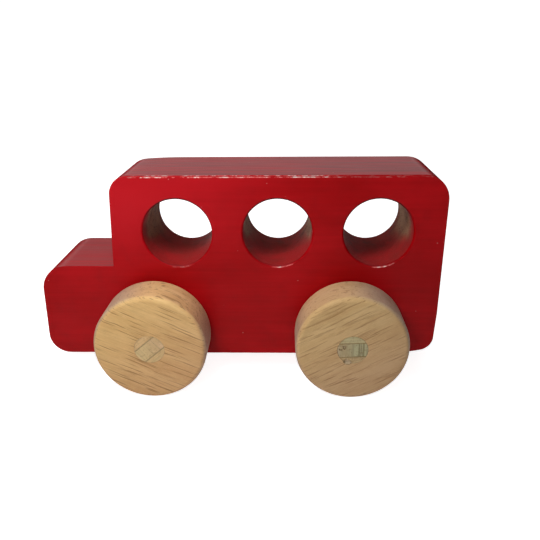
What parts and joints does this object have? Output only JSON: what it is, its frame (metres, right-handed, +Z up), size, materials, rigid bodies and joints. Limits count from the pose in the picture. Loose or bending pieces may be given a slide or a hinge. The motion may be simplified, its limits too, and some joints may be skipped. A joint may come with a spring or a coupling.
{
  "type": "toy bus",
  "caption": "Wooden push-along toy bus: a painted block with round through windows and a low bonnet, on wheels wedged to dowel axles that turn in the block.",
  "frame": {"origin": "on the ground, midway along the block and midway across it", "axes": "+X from the nose to the tail, +Y to the bus's right-hand side, +Z up"},
  "size_m": [0.1746, 0.0768, 0.0937],
  "materials": {
    "red_paint": "satin gloss red paint on wood",
    "dowel": "bare sanded end grain",
    "wheel_wood": "bare sanded hardwood with open pores",
    "wedge_wood": "bare sanded hardwood"
  },
  "bodies": {
    "bus_body": {"body": "red_paint"},
    "front_wheelset": {"front_axle": "dowel", "front_left_wheel": "wheel_wood", "front_right_wheel": "wheel_wood", "front_left_wedge": "wedge_wood", "front_right_wedge": "wedge_wood"},
    "rear_wheelset": {"rear_axle": "dowel", "rear_left_wheel": "wheel_wood", "rear_right_wheel": "wheel_wood", "rear_left_wedge": "wedge_wood", "rear_right_wedge": "wedge_wood"}
  },
  "joints": [
    {"name": "front_axle_turn", "type": "hinge", "parent": "bus_body", "child": "front_wheelset", "pos_m": [-0.03695, 0, 0.024], "axis": [0, 1, 0], "continuous": true},
    {"name": "rear_axle_turn", "type": "hinge", "parent": "bus_body", "child": "rear_wheelset", "pos_m": [0.04845, 0, 0.024], "axis": [0, 1, 0], "continuous": true}
  ]
}
